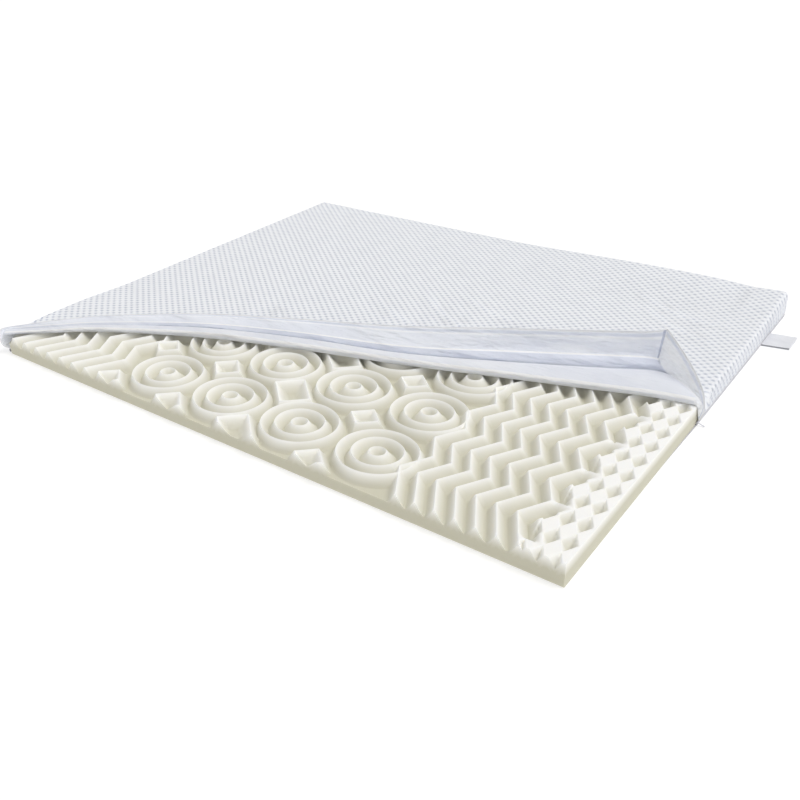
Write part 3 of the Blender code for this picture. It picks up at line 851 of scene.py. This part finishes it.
def lie(px, py):
    """Point and normal of the middle of the cloth over the foam, for a place on the flat cloth."""
    cx = min(max(px, COVER_ROUND), COVER_RIGHT)
    cy = min(py, COVER_BACK)
    dx, dy = px - cx, py - cy
    reach = math.hypot(dx, dy)
    rise = sag(cx, cy) + puff(cx, cy) + crease_height(cx, cy)
    if reach < 1e-7:
        return Vector((px, py, COVER_TOP + rise)), Vector((0, 0, 1))
    ux, uy = dx / reach, dy / reach
    arc = WALL_ROUND * math.pi / 2
    if reach < arc:
        angle = reach / WALL_ROUND
        out, down = WALL_ROUND * math.sin(angle), WALL_ROUND * (1 - math.cos(angle))
        normal = Vector((ux * math.sin(angle), uy * math.sin(angle), math.cos(angle)))
        drop = 1.0 - 0.3 * reach / arc
    else:
        out, down = WALL_ROUND, WALL_ROUND + reach - arc
        normal = Vector((ux, uy, 0))
        drop = 0.7 * (1 - (reach - arc) / (WALL_REACH - arc))
    return Vector((cx + ux * out, cy + uy * out, COVER_TOP + rise * drop - down)), normal


def knit_relief(px, py):
    """Height of the embossed knit about the cloth's outer face: rounded ridges round small dimples."""
    waves = math.cos(2 * math.pi * px / KNIT_CELL_X) * math.cos(2 * math.pi * py / KNIT_CELL_Y)
    dip = ((1 + waves) / 2) ** 2
    return KNIT_HIGH - (KNIT_HIGH + KNIT_DEEP) * dip


def section(place):
    """The turned-back cloth at a section: named points, and the direction back across the fold."""
    row = smooth_row(TURNED, place)
    last = len(TURNED) - 1
    ahead = smooth_row(TURNED, min(place + 0.05, last))
    behind = smooth_row(TURNED, max(place - 0.05, 0))
    along = Vector((ahead[0] - behind[0], ahead[1] - behind[1], 0)).normalized()
    back = Vector((-along.y, along.x, 0))
    near_end = min(place, last - place) / 0.12
    if near_end < 1:
        back = Vector((0, 1, 0)).lerp(back, soft_step(near_end)).normalized()
    roll = row[2]
    return {
        "roll": roll,
        "back": back,
        "centre": Vector((row[0], row[1], COVER_TOP + roll)) + back * roll,
        "foot": Vector(row[3:6]),
        "crease": Vector(row[6:9]),
        "edge": Vector(row[9:12]),
    }


# Stages across the turned-back cloth: flat on the foam, round the roll, down to the trough behind
# it, and up the band to the crease where the side wall begins.
FLAT_END, ROLL_END, TROUGH = 0.1, 0.6, 0.8
STAGES = (
    [FLAT_END * k / 4 for k in range(4)]
    + [FLAT_END + (ROLL_END - FLAT_END) * k / 12 for k in range(12)]
    + [ROLL_END + (TROUGH - ROLL_END) * k / 8 for k in range(8)]
    + [TROUGH + (1 - TROUGH) * k / 8 for k in range(9)]
)
BAND_BULGE = 0.20
SEAM_HIGH = 0.0012
SEAM_BEHIND = 0.008
HEM_CREST = 0.47
CORNER_TAPE = 8.8
WALL_SWAY = 0.0022
COLUMNS_PER_SECTION = 18
WALL_SHARES = [k / 14 for k in range(1, 15)]
KNIT_MARGIN = 0.0022
SIDE_LINES_FROM = (0.2, 0.88)  # y where the lines of points down the left and the right wall begin
KNIT, LINING = 0, 1  # places of the cover's two materials


def flat_reach(start):
    """How far behind the fold the lying part of the turned net begins."""
    far = COVER_BACK - start.y
    side = min(start.x - COVER_ROUND, COVER_RIGHT - start.x)
    away = min(max(side / 0.05, 0.0), 1.0)
    return SEAM_BEHIND + (far * (1 - PANEL_SHARE) - SEAM_BEHIND) * (1 - away) ** 2


def turned_point(here, stage):
    """A point of the turned-back cloth at a section."""
    back, roll, centre = here["back"], here["roll"], here["centre"]
    start = centre - Vector((0, 0, roll))
    start.x = min(max(start.x, COVER_ROUND), COVER_RIGHT)
    if stage < FLAT_END:
        away = flat_reach(start) * (1 - stage / FLAT_END)
        point = start + Vector((0, away, 0))
        point.z = COVER_TOP + sag(point.x, point.y)
        return point
    if stage < ROLL_END:
        angle = math.pi * ((stage - FLAT_END) / (ROLL_END - FLAT_END) - 0.5)
        return centre + (Vector((0, 0, math.sin(angle))) - back * math.cos(angle)) * roll
    top = centre + Vector((0, 0, roll))
    foot, crease = here["foot"], here["crease"]
    if stage < TROUGH:
        t = (stage - ROLL_END) / (TROUGH - ROLL_END)
        middle = top.lerp(foot, 0.5) + Vector((0, 0, 0.9 * roll))
        near = top.lerp(middle, t)
        return near.lerp(middle.lerp(foot, t), t)
    t = (stage - TROUGH) / (1 - TROUGH)
    outward = (Vector((0, 0, 0.5)) - back).normalized()
    bulge = BAND_BULGE * (crease - foot).length * max(math.sin(math.pi * t), 0.0) ** 0.8
    if stage == 1.0:
        bulge = SEAM_HIGH
    return foot.lerp(crease, t) + outward * bulge


def stage_mark(stage):
    """A painted highlight on the hem's crest, paler along the seam, painted shade down in the trough, and a
    little darker up the band.
    """
    if stage == 1.0:
        return 1.0
    if abs(stage - TROUGH) < 0.02:
        return -0.6
    if abs(stage - HEM_CREST) < 0.05:
        return 0.8
    return -0.3 if stage > TROUGH else 0.0


def wall_mark(place, share):
    """The band of tape along the free edge, with its pale stitching, and the tape up the corner."""
    if abs(place - CORNER_TAPE) < 0.10:
        return -0.6
    if abs(place - CORNER_TAPE - 0.17) < 0.06:
        return 1.0
    return edge_mark(share)


def edge_mark(share):
    if share > 0.97:
        return 0.6
    if share > 0.82:
        return -0.25
    return 0.4 if share > 0.75 else 0.0


def sway(place, share):
    """How far the standing wall leans in soft folds, at a share of its height."""
    wave = math.sin(4.1 * place + 0.6) + 0.6 * math.sin(9.3 * place + 2.0)
    wave += 0.35 * math.sin(17.0 * place)
    return WALL_SWAY * wave * math.sin(math.pi * min(share * 1.15, 1.0))


def wall_at(point, corner, edge):
    """The side wall's points from the panel's edge, round its soft corner, to its free edge."""
    reach = min((corner - point).length, (edge - corner).length / 2)
    start = corner + (point - corner).normalized() * reach if reach else corner.copy()
    end = corner + (edge - corner).normalized() * reach
    out = []
    bend = 0.35
    for share in WALL_SHARES:
        if share < bend:
            t = share / bend
            out.append(start * (1 - t) ** 2 + corner * 2 * t * (1 - t) + end * t**2)
        else:
            out.append(end.lerp(edge, (share - bend) / (1 - bend)))
    return out


def hanging_wall(point, side):
    """Points of a wall that hangs straight down at a side of the panel."""
    return [lie(point.x + side * WALL_REACH * share, point.y)[0] for share in WALL_SHARES]


def turning_wall(table, stage, point, side):
    """The wall's points where it turns over from hanging to standing at an end of the fold."""
    edge = Vector(smooth_table(table, stage))
    hang = point + Vector((side * WALL_ROUND, 0, 0))
    stand = point.lerp(edge, 0.25)
    turned = wall_at(point, hang.lerp(stand, stage**2), edge)
    if stage >= FLAT_END:
        return turned
    share = soft_step(stage / FLAT_END)
    return [a.lerp(b, share) for a, b in zip(hanging_wall(point, side), turned)]


def turned_net():
    """The turned-back part of the cover: its grid of points, and the walls along three of its sides."""
    columns = (len(TURNED) - 1) * COLUMNS_PER_SECTION
    places = [k / COLUMNS_PER_SECTION for k in range(columns + 1)]
    sections = [section(place) for place in places]
    grid = [[turned_point(here, stage) for stage in STAGES] for here in sections]
    plain = [0.0] * len(WALL_SHARES)
    # Painted light: the right end's turned wall is made paler, apart from the marks of its free edge.
    strip = [edge_mark(share) or 0.35 for share in WALL_SHARES]
    walls = [(turning_wall(RIGHT_TURN, t, point, 1), strip) for t, point in zip(STAGES, grid[-1])]
    for place, here in list(zip(places, sections))[-2:0:-1]:
        ridge = here["crease"].lerp(here["edge"], 0.12) + here["back"] * 0.004
        points = wall_at(here["crease"], ridge, here["edge"])
        points = [p + here["back"] * sway(place, share) for p, share in zip(points, WALL_SHARES)]
        walls.append((points, [wall_mark(place, share) for share in WALL_SHARES]))
    left = [(turning_wall(LEFT_TURN, t, point, -1), plain) for t, point in zip(STAGES, grid[0])]
    return grid, walls + left[::-1]


class Sheet:
    """The turned-back cloth in the making: the points of its middle, their flat places, and squares."""

    def __init__(self):
        self.points = []
        self.flat = []
        self.marks = []
        self.faces = []

    def add(self, point, flat, mark):
        self.points.append(Vector(point))
        self.flat.append(flat)
        self.marks.append(mark)
        return len(self.points) - 1

    def normals(self):
        out = [Vector((0, 0, 0)) for _ in self.points]
        for face in self.faces:
            a, b, c, d = (self.points[k] for k in face)
            turn = (c - a).cross(d - b)
            for k in face:
                out[k] += turn
        return [normal.normalized() for normal in out]


def add_turned(sheet):
    """Adds the turned-back part, and returns its seam with the lying part and its free edge."""
    grid, walls = turned_net()
    index = []
    for column in grid:
        line = []
        for stage, point in zip(STAGES, column):
            flat = (point.x, point.y)
            if line:
                x, y = sheet.flat[line[-1]]
                flat = (x, y - (point - sheet.points[line[-1]]).length)
            line.append(sheet.add(point, flat, stage_mark(stage)))
        index.append(line)
    sheet.faces += squares(index)
    around = index[-1] + [line[-1] for line in index[-2:0:-1]] + index[0][::-1]
    strips = []
    for start, (points, marks) in zip(around, walls):
        strip = [start]
        for point, mark in zip(points, marks):
            x, y = sheet.flat[strip[-1]]
            run = (point - sheet.points[strip[-1]]).length
            strip.append(sheet.add(point, (x + run * 0.3, y - run), mark))
        strips.append(strip)
    sheet.faces += [(a, d, c, b) for a, b, c, d in squares(strips)]
    seam = strips[-1][::-1] + [line[0] for line in index[1:-1]] + strips[0]
    return seam, strips


def seam_places(sheet, seam):
    """Where the seam's points lie on the cloth laid out flat."""
    count = len(WALL_SHARES)
    left_y, right_y = sheet.points[seam[count]].y, sheet.points[seam[-count - 1]].y
    left = [(COVER_ROUND - share * WALL_REACH, left_y) for share in reversed(WALL_SHARES)]
    right = [(COVER_RIGHT + share * WALL_REACH, right_y) for share in WALL_SHARES]
    return left + [tuple(sheet.points[k].xy) for k in seam[count:-count]] + right


def hem_places(right_y, left_y):
    """The cloth's lower edge laid out flat: up the right side, round the back, down the left side."""
    return spread_points(round_back(COVER_ROUND, WALL_REACH, right_y, left_y), FINE_STEP)[1:-1]


def corner_fan(x, y, start):
    """Flat places across the wedge where the cloth goes round an upright corner."""
    for share in (0.12, 0.25, 0.4, 0.55, 0.7, 0.85):
        yield from corner_arc(x, y, WALL_REACH * share, start)


def in_fan(px, py):
    """Whether a flat place lies in the wedge of one of the back corners."""
    return py > COVER_BACK and not COVER_ROUND < px < COVER_RIGHT


def knit_places(seam_line):
    """Points of the knit's own net behind the seam, a few to each of its dimples."""
    step_x, step_y = KNIT_CELL_X / 2 / KNIT_STEPS, KNIT_CELL_Y / 2 / KNIT_STEPS
    low_x, high_x = COVER_ROUND - WALL_REACH, COVER_RIGHT + WALL_REACH
    for across in range(math.ceil(low_x / step_x), math.floor(high_x / step_x) + 1):
        x = across * step_x
        if not low_x + KNIT_MARGIN < x < high_x - KNIT_MARGIN:
            continue
        low = front_at(seam_line, x)
        top = COVER_BACK
        if COVER_ROUND <= x <= COVER_RIGHT:
            top += WALL_REACH - KNIT_MARGIN
        for up in range(math.ceil(low / step_y), math.floor(top / step_y) + 1):
            if (up - across) % 2 == 0 and low + KNIT_MARGIN < up * step_y < top:
                yield x, up * step_y


def front_at(seam_line, x):
    """The seam's y at an x."""
    for a, b in zip(seam_line, seam_line[1:]):
        if min(a[0], b[0]) <= x <= max(a[0], b[0]) and a[0] != b[0]:
            return a[1] + (b[1] - a[1]) * (x - a[0]) / (b[0] - a[0])
    return seam_line[0][1] if x < seam_line[0][0] else seam_line[-1][1]


def coarse_places(seam_line):
    """Points for the cloth's hidden underside."""
    for i in range(1, 40):
        x = i * COARSE_STEP
        low = front_at(seam_line, x)
        for j in range(math.ceil(low / COARSE_STEP), math.floor(COVER_BACK / COARSE_STEP) + 1):
            if j * COARSE_STEP > low + 0.01:
                yield x, j * COARSE_STEP
    for share in (0.0, 0.15, 0.3, 0.45):
        reach = WALL_REACH * share
        left, right, back = COVER_ROUND - reach, COVER_RIGHT + reach, COVER_BACK + reach
        for x, start in zip((left, right), SIDE_LINES_FROM):
            yield from spread_points([(x, start), (x, COVER_BACK)], COARSE_STEP)
        yield from spread_points([(COVER_ROUND, back), (COVER_RIGHT, back)], COARSE_STEP)


def triangles(outline, others):
    """A net over an outline's points, which keep their numbers, and the other points inside it."""
    points = [Vector(p) for p in outline] + [Vector(p) for p in others]
    edges = [(k, (k + 1) % len(outline)) for k in range(len(outline))]
    verts, _, faces, from_verts, _, _ = delaunay_2d_cdt(points, edges, [], 1, 1e-6)
    number = [min(found) if found else len(points) + k for k, found in enumerate(from_verts)]
    places = {number[k]: tuple(vert) for k, vert in enumerate(verts)}
    return places, [tuple(number[k] for k in face) for face in faces]


class Skin:
    """The cover's closed surface in the making. Its faces are knit outside and lining inside."""

    def __init__(self):
        self.verts = []
        self.flats = []
        self.marks = []
        self.faces = []
        self.kinds = []

    def put(self, point, flat, mark):
        self.verts.append(centred(point))
        self.flats.append(flat)
        self.marks.append(mark)
        return len(self.verts) - 1

    def add_faces(self, net, index, side):
        for face in net:
            self.faces.append([index[k] for k in face][::side])
            self.kinds.append(KNIT if side > 0 else LINING)

    def add_side(self, sheet, seam, outline, others, side):
        """Adds one face of the whole cloth, and returns its points' numbers: turned and lying part."""
        half = COVER_THICK / 2
        given = zip(sheet.points, sheet.normals(), sheet.flat, sheet.marks)
        base = [self.put(point + normal * half * side, flat, mark) for point, normal, flat, mark in given]
        places, net = triangles(outline, others)
        index = {k: base[number] for k, number in enumerate(seam)}
        for k, (px, py) in places.items():
            if k in index:
                continue
            point, normal = lie(px, py)
            lift = half
            hangs = normal.z < 0.5
            if side > 0 and k >= len(outline) and not in_fan(px, py):
                lift += knit_relief(px, py) * (WALL_RELIEF if hangs else 1.0)
            # Hanging walls take painted shade.
            index[k] = self.put(point + normal * lift * side, (px, py), HANGING_WALL_SHADE if hangs else 0.0)
        self.add_faces(sheet.faces, base, side)
        self.add_faces(net, index, side)
        return base, index


def make_cover():
    """One closed thin sheet: an outer face with the knit's relief, and a smooth inner face."""
    sheet = Sheet()
    seam, strips = add_turned(sheet)
    seam_line = seam_places(sheet, seam)
    hem = hem_places(seam_line[-1][1], seam_line[0][1])
    outline = seam_line + hem
    fans = [*corner_fan(COVER_RIGHT, COVER_BACK, 0), *corner_fan(COVER_ROUND, COVER_BACK, 1)]
    skin = Skin()
    rims = []
    for side, places in ((1, knit_places(seam_line)), (-1, coarse_places(seam_line))):
        base, index = skin.add_side(sheet, seam, outline, [*places, *fans], side)
        free = [base[strip[-1]] for strip in reversed(strips)]
        rims.append(free + [index[k] for k in range(len(seam), len(outline))])
    outer, inner = rims
    for a, b, c, d in zip(outer, inner, inner[1:] + inner[:1], outer[1:] + outer[:1]):
        skin.faces.append([a, b, c, d])
        skin.kinds.append(LINING)
    finishes = [knit_material(), lining_material()]
    obj = add_piece("cover_cloth", skin.verts, skin.faces, finishes, skin.kinds)
    tidy_normals(obj)
    add_cloth_map(obj, skin.flats)
    write_attribute(obj.data, "mark", skin.marks)
    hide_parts("cover_top")
    return cover_ends(sheet, strips, hem)


def cover_ends(sheet, strips, hem):
    """Points on the cloth's free edge, each after a point of the cloth beside it."""
    ends = [(sheet.points[strip[-2]], sheet.points[strip[-1]]) for strip in reversed(strips)]
    for place in hem:
        edge = lie(*place)[0]
        ends.append((edge + Vector((0, 0, 0.01)), edge))
    return ends


def tidy_normals(obj):
    bm = bmesh.new()
    bm.from_mesh(obj.data)
    bmesh.ops.recalc_face_normals(bm, faces=bm.faces)
    bm.to_mesh(obj.data)
    bm.free()


def add_cloth_map(obj, flats):
    layer = obj.data.uv_layers.new(name="cloth")
    for loop in obj.data.loops:
        layer.data[loop.index].uv = flats[loop.vertex_index]


# ---- cords, lower half and strap


def add_cord(name, path, closed, node, finish):
    """A round corded edge along a path, with the slight lumps of its stitches."""
    sides, count = 8, len(path)
    verts, faces = [], []
    aside = Vector((0, 0, 1))
    for k, point in enumerate(path):
        before = path[k - 1] if k or closed else point
        after = path[(k + 1) % count] if closed or k < count - 1 else point
        along = (after - before).normalized()
        aside = (aside - along * aside.dot(along)).normalized()
        across = along.cross(aside)
        radius = CORD / 2 * (0.97 if k % 2 else 1.03)
        for side in range(sides):
            angle = 2 * math.pi * side / sides
            offset = aside * math.cos(angle) + across * math.sin(angle)
            verts.append(centred(point + offset * radius))
    for k in range(count if closed else count - 1):
        start, end = k * sides, (k + 1) % count * sides
        for side in range(sides):
            after = (side + 1) % sides
            faces.append((start + side, start + after, end + after, end + side))
    if not closed:
        faces += [tuple(range(sides))[::-1], tuple((count - 1) * sides + side for side in range(sides))]
    obj = add_piece(name, verts, faces, [finish])
    tidy_normals(obj)
    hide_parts(node)


def make_cover_cord(ends, finish):
    """The corded edge of the upper half, just outside the cloth's free edge."""
    edges = [edge for _, edge in ends]
    path = []
    for before, (inner, edge), after in zip(edges[-1:] + edges, ends, edges[1:] + edges[:1]):
        along = (after - before).normalized()
        away = edge - inner
        away = (away - along * away.dot(along)).normalized()
        path.append(edge + away * (CORD_GAP + CORD / 2))
    add_cord("cover_cord", path, True, "cover_piping", finish)


def closed_side(inset, step):
    """Plan places from the zip's end on the right side, round the back, to the left front corner."""
    line = round_back(COVER_ROUND, COVER_ROUND - inset, RIGHT_TURN[1][2], LEFT_TURN[1][2])
    return spread_points(line, step)


def make_base_cord(finish):
    height = BASE_RIM_TOP + GAP + CORD / 2
    places = closed_side(CORD / 2, FINE_STEP)
    add_cord("base_cord", [Vector((x, y, height)) for x, y in places], False, "base_piping", finish)


def thick_piece(name, bm, thick, finish):
    """A cloth piece from the surface of its middle."""
    obj = add_object(name, mesh_of(name, bm, finish))
    modifier = obj.modifiers.new("Thickness", "SOLIDIFY")
    modifier.thickness = thick
    modifier.offset = 0.0
    modifier.use_quality_normals = True
    shaped = obj.evaluated_get(bpy.context.evaluated_depsgraph_get())
    obj.data = bpy.data.meshes.new_from_object(shaped)
    obj.modifiers.clear()
    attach(obj, "root")
    return obj


def make_base_cloth(finish):
    """The plain lower half: flat under the foam, turned up where the zip is closed."""
    middle = BASE_THICK / 2
    rim = closed_side(middle, 0.02)
    outline = rim + [(BASE_TUCK, BASE_TUCK), (LENGTH - BASE_TUCK, BASE_TUCK)]
    inner = [(i * COARSE_STEP, j * COARSE_STEP) for i in range(1, 40) for j in range(1, 32)]
    places, net = triangles(outline, inner)
    bm = bmesh.new()
    verts = {k: bm.verts.new(centred((x, y, middle))) for k, (x, y) in places.items()}
    for face in net:
        bm.faces.new([verts[k] for k in face])
    rim_edges = [bm.edges.get((verts[k], verts[k + 1])) for k in range(len(rim) - 1)]
    for height in (0.004, BASE_RIM_TOP):
        raised, made = pull_out(bm, rim_edges)
        for vert in raised:
            vert.co.z = height
        rim_edges = [edge for edge in made if all(vert.co.z > height - 1e-6 for vert in edge.verts)]
    obj = thick_piece("base_cloth", bm, BASE_THICK, finish)
    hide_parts("cover_base")


def make_strap(finish):
    """The elastic loop: out along the ground, round its end and back, a little slanted."""
    near = LENGTH + GAP
    low = STRAP_THICK / 2
    high = low + STRAP_THICK + STRAP_OPEN
    radius = (high - low) / 2
    xs = [near + STRAP_REACH * k / STRAP_STEPS for k in range(STRAP_STEPS + 1)]
    profile = [(x, low) for x in xs]
    for k in range(1, 8):
        angle = math.pi * (k / 8 - 0.5)
        profile.append((xs[-1] + radius * math.cos(angle), low + radius * (1 + math.sin(angle))))
    profile += [(x, high) for x in reversed(xs)]
    bm = bmesh.new()
    rows = []
    for x, z in profile:
        shift = STRAP_SLANT * (x - near) / STRAP_REACH
        row = []
        for k in range(STRAP_STEPS + 1):
            lift = 0.0007 * max(math.sin(55 * x + 1.3 * k), 0.0) * (z > radius + low)
            y = STRAP_Y + shift + STRAP_WIDTH * k / STRAP_STEPS
            row.append(bm.verts.new(centred((x, y, z + lift))))
        rows.append(row)
    for corners in squares(rows):
        bm.faces.new(corners)
    obj = thick_piece("strap_loop", bm, STRAP_THICK, finish)
    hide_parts("corner_strap")


# ---- floor, the zip's material, and the building of the scene


def add_floor():
    low, high = -FLOOR_REACH, FLOOR_REACH
    corners = [(low, low), (high, low), (high, high), (low, high)]
    mesh = bpy.data.meshes.new("floor")
    mesh.from_pydata([(x, y, FLOOR_Z) for x, y in corners], [], [(0, 1, 2, 3)])
    mesh.materials.append(floor_material())
    floor = add_object("floor", mesh)


def dress_nodes():
    """The moulded slider and its pull keep their shape and get a finer material."""
    plastic = plastic_material()
    for name in ("zip_slider", "zip_pull"):
        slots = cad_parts[name].data.materials
        slots.clear()
        slots.append(plastic)


add_camera()
add_world()
add_light("key", (0.42, 0.15, 0.86), 35.0, 1.62, (1.0, 0.99, 0.98))
add_light("fill", (-0.30, -0.85, 0.35), 50.0, 0.20, (1.0, 0.97, 0.92))
add_floor()
make_foam()
cloth_ends = make_cover()
corded = plain_material("corded_edge", (0.76, 0.77, 0.81), (0.86, 0.87, 0.90), 0.8, 500.0, 0.0002)
tricot = plain_material("plain_tricot", (0.54, 0.54, 0.58), (0.64, 0.64, 0.68), 0.8, 300.0, 0.0003)
webbing = plain_material("elastic_webbing", (0.74, 0.75, 0.79), (0.80, 0.81, 0.84), 0.75, 180.0, 0.0005)
make_cover_cord(cloth_ends, corded)
make_base_cord(tricot)
make_base_cloth(tricot)
make_strap(webbing)
dress_nodes()
